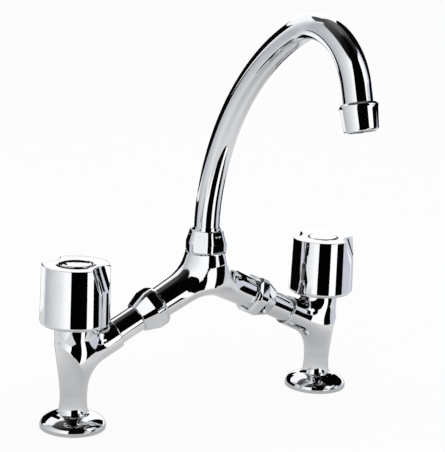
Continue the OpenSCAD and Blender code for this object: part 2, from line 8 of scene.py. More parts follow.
# %% Load the frame
import json
import math
import bmesh
import bpy
import numpy as np
from mathutils import Matrix, Vector


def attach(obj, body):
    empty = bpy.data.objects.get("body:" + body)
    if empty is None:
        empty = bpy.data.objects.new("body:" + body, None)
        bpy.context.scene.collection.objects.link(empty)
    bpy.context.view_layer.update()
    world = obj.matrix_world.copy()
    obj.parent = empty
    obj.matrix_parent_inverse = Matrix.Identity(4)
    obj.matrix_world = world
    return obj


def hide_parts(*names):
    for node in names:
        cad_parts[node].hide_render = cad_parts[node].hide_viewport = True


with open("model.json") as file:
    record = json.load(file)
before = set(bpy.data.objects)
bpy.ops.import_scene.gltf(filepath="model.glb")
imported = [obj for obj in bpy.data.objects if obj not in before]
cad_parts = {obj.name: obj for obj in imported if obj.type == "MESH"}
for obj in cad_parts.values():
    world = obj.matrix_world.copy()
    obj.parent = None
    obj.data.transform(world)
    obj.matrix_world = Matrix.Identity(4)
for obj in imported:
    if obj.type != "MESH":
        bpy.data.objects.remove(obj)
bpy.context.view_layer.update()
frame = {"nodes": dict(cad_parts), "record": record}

MM = 0.001

# %% [markdown]
# ## Sizes
# These are the sizes of the CAD model in millimetres, so that every skin lies on its solid. Heights are above
# the deck. The left half is the nearer one in the photograph, and the right half is its mirror image. Sizes
# that only one piece needs stand in that piece's own cell.

# %% Sizes that several pieces share
SIDES = (("left", -1), ("right", 1))
SLOPE = math.radians(26)
HALF_BRIDGE = 100.0
BRANCH_HEIGHT = 46.5
BRIDGE_HEIGHT = BRANCH_HEIGHT + HALF_BRIDGE * math.tan(SLOPE)
AXIS_LENGTH = HALF_BRIDGE / math.cos(SLOPE)
TUBE_R, BORE_R = 9.0, 8.0
# gap between pieces that are fixed together, and how far a cut runs on past an open end
FIT, CLEAR = 0.03, 8.0
SOCKET_R = TUBE_R + FIT
# along an arm of the yoke: the union nut starts, the thread ends, and the tube's socket goes this deep
ARM_REACH, ARM_THREAD_LENGTH, ARM_SOCKET = 41.0, 9.8, 15.0
ARM_END = ARM_REACH + ARM_THREAD_LENGTH
ARM_THREAD_R = 10.5
BRANCH_REACH = 33.5
NECK_RISE, NECK_THREAD_LENGTH = 14.7, 9.0
NECK_TOP = BRIDGE_HEIGHT + NECK_RISE
HANDLE_FOOT, HANDLE_TOP = 71.6, 111.6
print("yoke centre", round(BRIDGE_HEIGHT, 2), "neck top", round(NECK_TOP, 2))

# %% [markdown]
# ## Colours and node helpers
# Colours are written as a maker reads them off a screen, as sRGB hex values, and one function turns them into
# the linear numbers that Blender works with. A second function adds any node with its settings and links, and
# the others name the few combinations that come back in every material.

# %% Colour and node helpers
def linear(hex_colour):
    """an sRGB hex colour as linear red, green, blue and alpha"""
    channels = [int(hex_colour[i:i + 2], 16) / 255 for i in (1, 3, 5)]
    return [c / 12.92 if c <= 0.04045 else ((c + 0.055) / 1.055) ** 2.4 for c in channels] + [1.0]


def add(tree, kind, settings=None, inputs=None):
    """adds a node; inputs are values, or the sockets that they are linked from"""
    node = tree.nodes.new(kind)
    for name, value in (settings or {}).items():
        setattr(node, name, value)
    for socket, value in (inputs or {}).items():
        if isinstance(value, bpy.types.NodeSocket):
            tree.links.new(value, node.inputs[socket])
        else:
            node.inputs[socket].default_value = value
    return node


def ramp(tree, factor, stops):
    """a colour ramp with (place, hex colour) stops"""
    node = add(tree, "ShaderNodeValToRGB", inputs={"Fac": factor})
    while len(node.color_ramp.elements) < len(stops):
        node.color_ramp.elements.new(0.5)
    for element, (place, colour) in zip(node.color_ramp.elements, stops):
        element.position, element.color = place, linear(colour)
    return node.outputs["Color"]


def calculate(tree, operation, *inputs):
    """the result of a maths node"""
    return add(tree, "ShaderNodeMath", {"operation": operation}, dict(enumerate(inputs))).outputs["Value"]


def between(tree, value, low=0.0, high=1.0, start=0.0, end=1.0, how="LINEAR"):
    """a value that runs from start to end, stretched to run from low to high"""
    return add(tree, "ShaderNodeMapRange", {"interpolation_type": how},
               {"Value": value, "From Min": start, "From Max": end,
                "To Min": low, "To Max": high}).outputs["Result"]


def noise(tree, place, size_mm, detail):
    """a cloudy value whose patches are about this size"""
    return add(tree, "ShaderNodeTexNoise", inputs={"Vector": place, "Scale": 1 / (size_mm * MM),
                                                   "Detail": detail}).outputs["Fac"]


def bumped(tree, height, depth_um):
    """a normal that leans with the height, which is this many micrometres deep"""
    return add(tree, "ShaderNodeBump", inputs={"Height": height, "Strength": 1.0,
                                               "Distance": depth_um * MM * MM}).outputs["Normal"]


def blend(tree, share, first, second):
    """a mix of two shaders, from all of the first at 0 to all of the second at 1"""
    return add(tree, "ShaderNodeMixShader", inputs={0: share, 1: first, 2: second}).outputs["Shader"]


def new_finish(name):
    """an empty material and its surface shader"""
    finish = bpy.data.materials.new(name)
    finish.use_nodes = True
    tree = finish.node_tree
    tree.nodes.clear()
    surface = add(tree, "ShaderNodeBsdfPrincipled")
    add(tree, "ShaderNodeOutputMaterial", inputs={"Surface": surface.outputs["BSDF"]})
    return finish, tree, surface


def link_surface(tree, surface, sources):
    """links each named socket of the surface shader from its source"""
    for socket, source in sources.items():
        tree.links.new(source, surface.inputs[socket])


print("mid grey as a linear value:", round(linear("#808080")[0], 3))

# %% [markdown]
# ## Chromium plate
# The plate is a few micrometres thick and copies the brass below it. A polished casting keeps a faint long
# wave from the buffing wheel, and drawn tube and turned nuts keep a fainter one. The plate itself is a
# neutral, slightly cool mirror, with hazy patches where hands and cloths have been. The wave is a bump of a
# few micrometres, because a larger one would break the long bands that make chrome look like chrome.

# %% Chromium plate over a casting, a tube and a turned piece
PLATE_TINTS = [(0.3, "#e8eaec"), (0.7, "#eeeff1")]
PLATE_ROUGHNESS = (0.015, 0.06)
HAZE_MM, WIPING_MM = 14, 1.6


def chromium_plate(name, wave_mm, wave_um):
    """bright plate; the wave is what buffing left, this long and this deep"""
    finish, tree, surface = new_finish(name)
    place = add(tree, "ShaderNodeTexCoord").outputs["Object"]
    wave = noise(tree, place, wave_mm, 1.0)
    haze = noise(tree, place, HAZE_MM, 4.0)
    wiped = noise(tree, place, WIPING_MM, 3.0)
    patches = calculate(tree, "MULTIPLY", haze, wiped)
    link_surface(tree, surface, {"Base Color": ramp(tree, haze, PLATE_TINTS),
                                 "Roughness": between(tree, patches, *PLATE_ROUGHNESS),
                                 "Normal": bumped(tree, wave, wave_um)})
    surface.inputs["Metallic"].default_value = 1.0
    return finish


chrome_on_casting = chromium_plate("chromium plate on polished cast brass", wave_mm=16, wave_um=14)
chrome_on_tube = chromium_plate("chromium plate on drawn brass tube", wave_mm=18, wave_um=1.5)
chrome_on_turning = chromium_plate("chromium plate on turned brass", wave_mm=9, wave_um=3)
chrome_on_handle = chromium_plate("chromium plate on die-cast handle", wave_mm=20, wave_um=10)
print("finishes so far:", len(bpy.data.materials))

# %% [markdown]
# ## The finishes inside
# Bare brass shows lathe lines, stainless steel is grey and finely brushed, nitrile rubber is matt black with
# a mould bloom, fibre washers are rust red with short fibres, and the low-friction rings are milky acetal.
# All of them follow one recipe: a grain that can be stretched into lines steers colour, gloss and relief, so
# that the three always agree.

# %% Brass, steel, rubber, fibre and plastics
def plain_stuff(name, dark, pale, grain_mm, rough, metal=0.0, relief_um=6, stretch=(1, 1, 1)):
    """a finish whose colour, gloss and relief all follow one grain"""
    finish, tree, surface = new_finish(name)
    place = add(tree, "ShaderNodeTexCoord").outputs["Object"]
    along = add(tree, "ShaderNodeMapping", inputs={"Vector": place, "Scale": stretch}).outputs["Vector"]
    grain = noise(tree, along, grain_mm, 5.0)
    cloud = noise(tree, place, 9, 2.0)
    mixed = calculate(tree, "MULTIPLY_ADD", grain, 0.5, between(tree, cloud, 0.0, 0.5))
    link_surface(tree, surface, {"Base Color": ramp(tree, mixed, [(0.3, dark), (0.7, pale)]),
                                 "Roughness": between(tree, mixed, *rough),
                                 "Normal": bumped(tree, grain, relief_um)})
    surface.inputs["Metallic"].default_value = metal
    return finish


turned_brass = plain_stuff("turned brass", "#b08a45", "#d8b56a", 0.8, (0.18, 0.34), 1.0, 5, (1, 1, 12))
stainless_steel = plain_stuff("stainless steel", "#8d8f91", "#b9bbbd", 0.5, (0.2, 0.36), 1.0, 4, (1, 6, 1))
nitrile_rubber = plain_stuff("moulded nitrile rubber", "#141414", "#242424", 0.6, (0.55, 0.75), relief_um=12)
red_fibre = plain_stuff("pressed red fibre", "#6a2418", "#94402c", 0.7, (0.7, 0.85), relief_um=20,
                        stretch=(1, 4, 1))
white_acetal = plain_stuff("machined white acetal", "#dcdcd6", "#efeee8", 0.9, (0.35, 0.5), relief_um=4)
grey_acetal = plain_stuff("moulded grey acetal", "#8a8d90", "#a3a6a8", 1.1, (0.35, 0.55), relief_um=6)
print("finishes so far:", len(bpy.data.materials))

# %% [markdown]
# ## Skins made of rings
# Turned, bent and moulded pieces are all a row of closed rings. One function joins neighbouring rings with
# quads and joins the last ring to the first, so that every piece is a closed wall with a real hole in it. The
# weighted normals let the broad faces decide how the mirror lies, and the small rounded edges only turn it.

# %% From rings to a piece
def dress(piece, body, nodes):
    """the piece rides on its body, and the CAD nodes that it stands for are hidden"""
    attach(piece, body)
    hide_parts(*nodes)
    return piece


def piece_from(name, points, faces, finish):
    """a smooth-shaded object from points in millimetres"""
    mesh = bpy.data.meshes.new(name)
    mesh.from_pydata((np.asarray(points) * MM).tolist(), [], faces)
    work = bmesh.new()
    work.from_mesh(mesh)
    bmesh.ops.remove_doubles(work, verts=work.verts, dist=0.002 * MM)
    bmesh.ops.recalc_face_normals(work, faces=work.faces)
    work.to_mesh(mesh)
    work.free()
    mesh.shade_smooth()
    mesh.materials.append(finish)
    piece = bpy.data.objects.new(name, mesh)
    bpy.context.scene.collection.objects.link(piece)
    return piece


def ringed(name, rings, finish):
    """closed wall from a loop of rings: an array of levels, turns and x, y, z"""
    rings = np.asarray(rings, float)
    levels, turns = rings.shape[:2]
    level, turn = np.meshgrid(np.arange(levels), np.arange(turns), indexing="ij")
    up, on = (level + 1) % levels, (turn + 1) % turns
    faces = np.stack([level * turns + turn, level * turns + on, up * turns + on, up * turns + turn], -1)
    piece = piece_from(name, rings.reshape(-1, 3), faces.reshape(-1, 4).tolist(), finish)
    even = piece.modifiers.new("broad faces lead", "WEIGHTED_NORMAL")
    even.keep_sharp = True
    even.weight = 60
    print(name, "has", levels, "rings of", turns, "points")
    return piece


# %% [markdown]
# ## Outlines
# A turner reads a drawing as radius against height, with a rounding noted at each corner, and the outlines
# here are written in the same way. Small roundings matter on chrome: an edge without one never catches light.

# %% Outlines, curves and how a piece is put in place
def bow(a, b, c, steps=12):
    """points of a smooth curve from a to c that leaves and arrives along the lines to b"""
    t = np.linspace(0, 1, steps + 1)[:, None]
    a, b, c = (np.array(corner, float) for corner in (a, b, c))
    return (1 - t) ** 2 * a + 2 * t * (1 - t) * b + t * t * c


def softened(corners):
    """outline of (radius, height, rounding) corners as points, with each corner rounded"""
    points = []
    for i, (r, z, rounding) in enumerate(corners):
        here = np.array([r, z])
        if rounding <= 0:
            points.append([here])
            continue
        before, after = (np.array(corners[(i + k) % len(corners)][:2]) - here for k in (-1, 1))
        start, end = (here + side * min(rounding / np.linalg.norm(side), 0.45) for side in (before, after))
        points.append(bow(start, here, end, 4))
    return np.concatenate(points)


def around(r, angle, z):
    """one level ring: points at radius r, in the given directions, at height z"""
    return np.column_stack([r * np.cos(angle), r * np.sin(angle), np.full(angle.shape, z)])


def full_circle(turns):
    """evenly spaced directions all the way round"""
    return np.arange(turns) * 2 * math.pi / turns


def turned_rings(outline, turns=144):
    """rings about the Z axis from (radius, height) points"""
    return np.array([around(r, full_circle(turns), z) for r, z in outline])


def placed(points, origin, direction, side=(0, 1, 0)):
    """points drawn along Z, moved so that Z runs along the direction; side stays where it is"""
    z_axis = np.array(direction, float) / np.linalg.norm(direction)
    y_axis = np.array(side, float)
    x_axis = np.cross(y_axis, z_axis)
    return np.asarray(points) @ np.array([x_axis, y_axis, z_axis]) + np.array(origin, float)


print("a rounded corner has", len(softened([(1, 0, 0), (1, 1, 0.3), (0, 1, 0)])) - 2, "points")

# %% [markdown]
# ## Cast bodies
# The pillars and the yoke are castings: tubes that melt into each other with a generous fillet, because
# molten brass needs round corners and the buffing wheel has to reach them. Here each casting is one rule that
# gives the distance from any point to its skin. Neighbouring tubes are joined with a soft minimum, which is a
# fillet, and bores are taken away.

# %% Distance rules
def soft_min(a, b, width):
    """the smaller of two distances, with a fillet that starts this far from the corner"""
    near = np.maximum(width - np.abs(a - b), 0) / width
    return np.minimum(a, b) - near * near * width / 4


def soft_max(a, b, width):
    """the larger of two distances, with its corner rounded in the same way"""
    return -soft_min(-a, -b, width)


def to_bar(p, start, end, r_start, r_end):
    """distance to a bar with flat ends, that may be tapered"""
    start, end = np.array(start, float), np.array(end, float)
    length = np.linalg.norm(end - start)
    axis = (end - start) / length
    along = (p - start) @ axis
    away = np.linalg.norm((p - start) - along[:, None] * axis, axis=1)
    share = np.clip(along / length, 0, 1)
    side = (away - (r_start + (r_end - r_start) * share)) / math.hypot(1, (r_end - r_start) / length)
    return soft_max(side, np.abs(along - length / 2) - length / 2, 0.5)


def to_turned(p, outline):
    """distance to a turned body, from its radius at each height"""
    away = np.hypot(p[:, 0], p[:, 1])
    r = np.interp(p[:, 2], outline[:, 1], outline[:, 0])
    lean = np.gradient(outline[:, 0], outline[:, 1])
    side = (away - r) / np.hypot(1, np.interp(p[:, 2], outline[:, 1], lean))
    low, high = outline[0, 1], outline[-1, 1]
    return soft_max(side, np.maximum(low - p[:, 2], p[:, 2] - high), 0.6)


def without(body, bores):
    """the body's distance after the bores are taken away"""
    for bore in bores:
        body = np.maximum(body, -bore)
    return body


check = to_bar(np.array([[12.0, 0.0, 5.0]]), (0, 0, 0), (0, 0, 10), 9, 9)[0]
print("a point 12 mm from the axis of a bar of radius 9 is", round(float(check), 3), "mm off its skin")

# %% [markdown]
# ## From a rule to a skin
# The CAD solid is copied and given an even mesh, and each of its points slides downhill onto the rule.
# Between the slides the points are evened out with their neighbours, which keeps the faces alike in size. The
# fillets start small, as on the solid, and grow to their full size over these turns. If they were large at
# once, points in the corners would be nearer to the bores than to the outside and would fall into them.

# %% Even copies of the CAD solids, pulled onto a rule
GRAIN_MM = 0.75
EVENING_TURNS = 8
# share of the full fillets: for the first pull, for the first turn, and how much more by the last one
FIRST_FILLETS, EARLY_FILLETS, FILLET_GROWTH = 0.4, 0.5, 0.75


def downhill(rule, p, step=0.02):
    """how the distance changes along x, y and z"""
    slope = np.empty_like(p)
    for axis in range(3):
        ahead, behind = p.copy(), p.copy()
        ahead[:, axis] += step
        behind[:, axis] -= step
        slope[:, axis] = (rule(ahead) - rule(behind)) / (2 * step)
    return slope


def onto(rule, p, rounds=5):
    """pulls points onto the skin where the distance is zero"""
    for _ in range(rounds):
        slope = downhill(rule, p)
        steep = np.maximum((slope * slope).sum(1), 0.25)
        move = np.clip(rule(p) / steep, -0.4, 0.4)
        p = p - slope * move[:, None]
    return p


def even_copy(name, node):
    """a copy of a CAD solid with faces of one size"""
    mesh = frame["nodes"][node].data.copy()
    mesh.materials.clear()
    piece = bpy.data.objects.new(name, mesh)
    bpy.context.scene.collection.objects.link(piece)
    even = piece.modifiers.new("even grain", "REMESH")
    even.mode, even.voxel_size, even.adaptivity = "VOXEL", GRAIN_MM * MM, 0.0
    evaluated = piece.evaluated_get(bpy.context.evaluated_depsgraph_get())
    mesh = bpy.data.meshes.new_from_object(evaluated)
    piece.modifiers.clear()
    piece.data = mesh
    return piece, mesh


def pulled(mesh, rule):
    """the mesh's points in millimetres, evened out and pulled onto the rule"""
    p = np.empty(len(mesh.vertices) * 3)
    mesh.vertices.foreach_get("co", p)
    p = p.reshape(-1, 3) / MM
    edges = np.empty(len(mesh.edges) * 2, int)
    mesh.edges.foreach_get("vertices", edges)
    one, other = edges.reshape(-1, 2).T
    count = np.bincount(one, minlength=len(p)) + np.bincount(other, minlength=len(p))
    p = onto(lambda q: rule(q, FIRST_FILLETS), p)
    for turn in range(EVENING_TURNS):
        fillets = min(1.0, EARLY_FILLETS + FILLET_GROWTH * turn / EVENING_TURNS)
        middle = np.zeros_like(p)
        np.add.at(middle, one, p[other])
        np.add.at(middle, other, p[one])
        p = onto(lambda q: rule(q, fillets), 0.5 * p + 0.5 * middle / count[:, None], 2)
    return onto(rule, p, 3)


def cast_skin(name, node, rule, finish):
    """a smooth skin over a cast CAD solid, with normals taken from the rule itself"""
    piece, mesh = even_copy(name, node)
    p = pulled(mesh, rule)
    off = np.abs(rule(p))
    mesh.vertices.foreach_set("co", (p * MM).ravel())
    mesh.update()
    mesh.shade_smooth()
    normal = downhill(rule, p)
    normal /= np.linalg.norm(normal, axis=1)[:, None]
    mesh.normals_split_custom_set_from_vertices(normal.tolist())
    mesh.materials.clear()
    mesh.materials.append(finish)
    print(name, "points", len(p), "furthest off its rule in mm", round(float(off.max()), 3),
          "median", round(float(np.median(off)), 5))
    return piece


print("castings get faces of about", GRAIN_MM, "mm")

# %% [markdown]
# ## Pillars
# A pillar is a waisted column on a round deck flange with a domed top, and a branch slopes up from it to meet
# the bridge. The column widens again to carry the handle, and the branch flows out of it with a long fillet
# below. The outline has many points, because the dome is small and its mirror shows every straight stretch.

# %% Rule and skins of the two pillars
FOOT_EDGE = [[21.6, 0.0], [22.0, 0.4]]
FLANGE_BOWS = (((22, 2.4), (21.8, 4.6), (19.6, 6.2)), ((19.6, 6.2), (16.2, 8.6), (12, 9.6)),
               ((12, 9.6), (10.1, 10.1), (9.6, 13)))
STEM_BOWS = (((9.6, 13), (8.9, 17), (9.05, 23)), ((9.05, 23), (9.75, 33), (11.6, 46)),
             ((11.6, 46), (13.5, 60.5), (13.6, 75.6)))
TOP_EDGE = [[13.2, 76.0]]
BOW_STEPS = 60
bows = [bow(*corners, BOW_STEPS)[1:] for corners in FLANGE_BOWS + STEM_BOWS]
PILLAR_OUTLINE = np.concatenate([FOOT_EDGE, *bows, TOP_EDGE])
BRANCH_R, BRANCH_FILLET, BRANCH_SOCKET_START = 10.7, 9.0, 17.0
INLET_R, INLET_DEPTH = 9.3, 9.0
WATERWAY_R, WATERWAY_TOP = 5.5, 40.0
CHAMBER_R, SEAT_HEIGHT = 8.6, 37.5
BONNET_THREAD_R, BONNET_START = 9.7, 58.0
RECESS_MIDDLE_R, RECESS_HALF_WIDTH, RECESS_DEPTH = 15.5, 3.5, 2.0


def pillar_rule(side):
    """distance to a pillar casting at the left (-1) or right (1) of the bridge"""
    def out(distance):
        return np.array([distance * math.cos(SLOPE), 0, BRANCH_HEIGHT + distance * math.sin(SLOPE)])

    def rule(p, grown=1.0):
        p = (p - [side * HALF_BRIDGE, 0, 0]) * [-side, 1, 1]
        branch = to_bar(p, out(0), out(BRANCH_REACH), BRANCH_R, BRANCH_R)
        body = soft_min(to_turned(p, PILLAR_OUTLINE), branch, BRANCH_FILLET * grown)
        away, z = np.hypot(p[:, 0], p[:, 1]), p[:, 2]
        return without(body, [
            np.maximum(away - INLET_R, z - INLET_DEPTH), np.maximum(away - WATERWAY_R, z - WATERWAY_TOP),
            np.maximum(away - CHAMBER_R, SEAT_HEIGHT - z),
            np.maximum(away - BONNET_THREAD_R, BONNET_START - z),
            to_bar(p, out(0), out(BRANCH_REACH + CLEAR), BORE_R, BORE_R),
            to_bar(p, out(BRANCH_SOCKET_START), out(BRANCH_REACH + CLEAR), SOCKET_R, SOCKET_R),
            np.maximum(np.abs(away - RECESS_MIDDLE_R) - RECESS_HALF_WIDTH, z - RECESS_DEPTH)])
    return rule


for hand, side in SIDES:
    skin = cast_skin(f"{hand}_pillar_skin", f"{hand}_pillar_body", pillar_rule(side), chrome_on_casting)
    dress(skin, "mixer_body", [f"{hand}_pillar_body"])

# %% [markdown]
# ## Yoke
# The yoke is the Y in the middle. Its two arms slope down to the union nuts and swell towards the middle,
# where they run up into the neck that the spout stands on. The rule folds left onto right, so that one arm
# describes both, and a mirrored arm rounds the valley between them.

# %% Rule and skin of the yoke
ARM_START, ARM_ROOT_R, ARM_TIP_R = -6.0, 12.2, 10.8
NECK_START, NECK_R = -4.0, 13.0
ARM_FILLET, NECK_FILLET = 9.0, 15.0
NECK_THREAD_R = 12.2
YOKE_BORE_R, YOKE_HOLLOW_R = 7.4, 8.0
SPOUT_BORE_R, SPOUT_BORE_RISE = 9.5, 2.3


def yoke_rule(p, grown=1.0):
    """distance to the yoke casting"""
    p = np.column_stack([np.abs(p[:, 0]), p[:, 1], p[:, 2] - BRIDGE_HEIGHT])
    away = np.hypot(p[:, 0], p[:, 1])

    def out(distance):
        return np.array([distance * math.cos(SLOPE), 0, -distance * math.sin(SLOPE)])

    arm, mirrored = (to_bar(p * [flip, 1, 1], out(ARM_START), out(ARM_REACH), ARM_ROOT_R, ARM_TIP_R)
                     for flip in (1, -1))
    neck = to_bar(p, (0, 0, NECK_START), (0, 0, NECK_RISE), NECK_R, NECK_R)
    body = soft_min(soft_min(arm, mirrored, ARM_FILLET * grown), neck, NECK_FILLET * grown)
    body = np.minimum(body, to_bar(p, out(ARM_REACH - 1), out(ARM_END), ARM_THREAD_R, ARM_THREAD_R))
    body = np.minimum(body, to_bar(p, (0, 0, 10), (0, 0, NECK_RISE + NECK_THREAD_LENGTH),
                                   NECK_THREAD_R, NECK_THREAD_R))
    return without(body, [
        to_bar(p, out(0), out(ARM_REACH + 1), YOKE_BORE_R, YOKE_BORE_R),
        to_bar(p, out(ARM_END - ARM_SOCKET), out(ARM_END + CLEAR), SOCKET_R, SOCKET_R),
        np.linalg.norm(p, axis=1) - YOKE_HOLLOW_R,
        np.maximum(away - SPOUT_BORE_R, SPOUT_BORE_RISE - p[:, 2])])


yoke = cast_skin("bridge_yoke_skin", "bridge_yoke", yoke_rule, chrome_on_casting)
dress(yoke, "mixer_body", ["bridge_yoke"])

# %% [markdown]
# ## Hexagon nuts
# The nuts are turned from hexagon bar. Their flats close in towards the tube, and the corners are turned
# round, so each flat ends in a curve. A nut is a row of rings whose radius is the soft minimum of hexagon and
# turned outline. The rings lie close together at the two kinks of the flats, where the mirror breaks.

# %% Shape of a nut
NUT_HALF, NUT_CORNER_R = 13.5, 6.0
# the bevel's height and depth at the foot, and what the lathe takes off the corners and off the lower rim
NUT_BEVEL, NUT_BEVEL_IN, NUT_CORNER_CUT, NUT_RIM_CUT = 2.0, 0.7, 0.8, 0.4
HALF_FACET = math.pi / 6


def bar_radius(angle):
    """radius of hexagon bar with rounded corners in each direction, where a flat's middle counts as 1"""
    from_corner = np.abs(angle % (2 * HALF_FACET) - HALF_FACET)
    centre = (NUT_HALF - NUT_CORNER_R) / math.cos(HALF_FACET)
    arc = centre * np.cos(from_corner) + np.sqrt(NUT_CORNER_R**2 - (centre * np.sin(from_corner))**2)
    arc_ends = math.atan(NUT_CORNER_R * 0.5 / (centre + NUT_CORNER_R * math.cos(HALF_FACET)))
    return np.where(from_corner < arc_ends, arc, NUT_HALF / np.cos(HALF_FACET - from_corner)) / NUT_HALF


def nut_rings(length, upright, end_r, inside, turned_by, turns=240):
    """rings of a nut that stands on z = 0, then the rings of its inside outline"""
    kink = NUT_BEVEL + upright
    corner = NUT_HALF / math.cos(HALF_FACET) - NUT_CORNER_CUT
    flat = np.array([[NUT_HALF - NUT_BEVEL_IN, 0], [NUT_HALF, NUT_BEVEL], [NUT_HALF, kink], [end_r, length]])
    turned = np.concatenate([bow((NUT_HALF - NUT_RIM_CUT, 0), (corner, 1.2), (corner, 3.4)),
                             bow((corner, kink + 1), (corner, kink + 4), (end_r + 0.9, length))])
    heights = np.concatenate([[0, 0.15, 0.5, 1, 1.5], np.linspace(NUT_BEVEL - 0.2, NUT_BEVEL + 0.2, 4),
                              np.linspace(NUT_BEVEL + 0.6, kink - 0.4, 9),
                              np.linspace(kink - 0.2, kink + 0.2, 4),
                              np.linspace(kink + 0.6, length - 0.3, 14), [length - 0.1, length]])
    angle = full_circle(turns)
    hexagon = bar_radius(angle - math.radians(turned_by))
    rings = []
    for z in heights:
        smooth = np.mean([np.interp(z + d, flat[:, 1], flat[:, 0]) for d in (-0.15, 0, 0.15)])
        lathe = np.full(turns, np.interp(z, turned[:, 1], turned[:, 0]))
        rings.append(around(soft_min(smooth * hexagon, lathe, 0.35), angle, z))
    rim = rings[-1] * [0.975, 0.975, 1]
    return np.concatenate([rings, [rim], turned_rings(softened(inside), turns)])


widest = 2 * NUT_HALF * float(bar_radius(full_circle(12)).max())
print("a nut's bar is", round(widest, 2), "mm over its corners")

# %% [markdown]
# ## The three nuts
# Two union nuts squeeze the seals round the slide tubes, and the swivel nut holds the spout down. How far
# each one happens to be turned is read off the photograph, because it decides which flats catch the light.
# An inside is an outline too, of radius, height and rounding: a bore for the tube, and a wider one for the
# thread.

# %% Union nuts and swivel nut
# degrees
NUT_TURN = {"left": 12, "right": 0, "swivel": 38}
NUT_LENGTH, NUT_UPRIGHT, NUT_END_R = 17.8, 6, 10.0
NUT_INSIDE = [(9.1, NUT_LENGTH, 0.2), (9.1, 13.6, 0), (ARM_THREAD_R, ARM_THREAD_LENGTH, 0),
              (ARM_THREAD_R + FIT, 0, 0.3)]
SWIVEL_LENGTH, SWIVEL_UPRIGHT, SWIVEL_END_R = 16, 5.4, 11.0
SWIVEL_INSIDE = [(9.98, SWIVEL_LENGTH, 0.2), (9.98, 13, 0), (NECK_THREAD_R + FIT, 12.9, 0),
                 (NECK_THREAD_R + FIT, 0, 0.3)]

for hand, side in SIDES:
    rings = nut_rings(NUT_LENGTH, NUT_UPRIGHT, NUT_END_R, NUT_INSIDE, NUT_TURN[hand])
    outward = np.array([side * math.cos(SLOPE), 0, -math.sin(SLOPE)])
    start = np.array([0, 0, BRIDGE_HEIGHT]) + ARM_REACH * outward
    nut = ringed(f"{hand}_union_nut_skin", placed(rings, start, outward), chrome_on_turning)
    dress(nut, "mixer_body", [f"{hand}_union_nut"])
rings = nut_rings(SWIVEL_LENGTH, SWIVEL_UPRIGHT, SWIVEL_END_R, SWIVEL_INSIDE, NUT_TURN["swivel"])
swivel_nut = ringed("swivel_nut_skin", rings + [0, 0, NECK_TOP], chrome_on_turning)
dress(swivel_nut, "mixer_body", ["swivel_nut"])

# %% [markdown]
# ## Slide tubes
# The slide tubes are straight drawn brass tube. They slide in sockets at both ends, so that the bridge can be
# fitted to holes that aren't drilled quite at the right distance. Each is an open ring of wall.

# %% Slide tubes
SLIDE_PLAY, SEAL_THICKNESS = 0.5, 2.0
TUBE_START = ARM_END - ARM_SOCKET + SLIDE_PLAY
TUBE_STOP = AXIS_LENGTH - BRANCH_SOCKET_START - SEAL_THICKNESS
TUBE_WALL = softened([(TUBE_R, TUBE_START, 0.3), (TUBE_R, TUBE_STOP, 0.3),
                      (BORE_R, TUBE_STOP, 0.2), (BORE_R, TUBE_START, 0.2)])
for hand, side in SIDES:
    outward = (side * math.cos(SLOPE), 0, -math.sin(SLOPE))
    rings = placed(turned_rings(TUBE_WALL, 120), (0, 0, BRIDGE_HEIGHT), outward)
    tube = ringed(f"{hand}_slide_tube_skin", rings, chrome_on_tube)
    dress(tube, "mixer_body", [f"{hand}_slide_tube"])

# %% [markdown]
# ## The spout's centre line
# The spout is the same tube as the slide tubes, bent in three arcs on a tube bender: a gentle foot, a long
# bow, and the tight crown that turns it down to the outlet. A bender is set by radius and angle, so the line
# is written in these two numbers per arc, and a straight end is left for the aerator.

# %% Centre line of the spout
# on the neck's thread lie a bearing ring, the spout's collar and a second ring, each with play beside it
BEARING_RING, PLAY, COLLAR, CUP_PROUD = 1.0, 0.05, 1.9, 2.0
CUP_FLOOR = NECK_TOP + NECK_THREAD_LENGTH + 2 * (BEARING_RING + PLAY) + COLLAR
CUP_TOP = NECK_TOP + SWIVEL_LENGTH + CUP_PROUD
BENDS = (("straight", CUP_TOP - CUP_FLOOR, 0), ("bend", 104, 12), ("bend", 176, 50.5), ("bend", 42.5, 101),
         ("straight", 13.6, 0))


def spout_line(step=1.0):
    """places (towards the user, up) and headings from straight up, along the spout"""
    place, heading = np.array([0.0, CUP_FLOOR]), 0.0
    line = [(place.copy(), heading)]
    for kind, size, turn in BENDS:
        length = size if kind == "straight" else size * math.radians(turn)
        count = max(2, round(length / step))
        for _ in range(count):
            turned = math.radians(turn) / count
            middle = heading + turned / 2
            chord = length / count if turn == 0 else 2 * size * math.sin(turned / 2)
            place = place + chord * np.array([math.sin(middle), math.cos(middle)])
            heading += turned
            line.append((place.copy(), heading))
    return line


LINE = spout_line()
print("spout line of", len(LINE), "places; outlet at", [round(float(v), 2) for v in LINE[-1][0]])

# %% [markdown]
# ## Spout and aerator
# Rings round the centre line, up the outside and back down the bore, make the tube in one closed wall. The
# aerator's shell is turned from bar, tapers towards the outlet and is screwed onto the end of the tube.

# %% Spout tube and aerator shell
SHELL_LAP = 4
SHELL_OUTLINE = softened([
    (9.1, 0, 0.1), (10.3, 0, 0.3), (11.8, 1.5, 0.5), (11.8, 3.4, 0.9), (10.9, 16.3, 0.5), (10.2, 17, 0.4),
    (8.8, 17, 0.3), (8.8, 15.8, 0), (10.03, 15.8, 0), (10.03, SHELL_LAP, 0), (9.1, SHELL_LAP, 0)])


def spout_rings(line, radius, turns=144):
    """rings round the centre line, which lies in the plane x = 0"""
    angle = full_circle(turns)
    rings = []
    for (ahead, up), heading in line:
        across = [0, -math.cos(heading), -math.sin(heading)]
        ring = np.outer(np.cos(angle), [1, 0, 0]) + np.outer(np.sin(angle), across)
        rings.append(np.array([0, -ahead, up]) + radius * ring)
    return rings


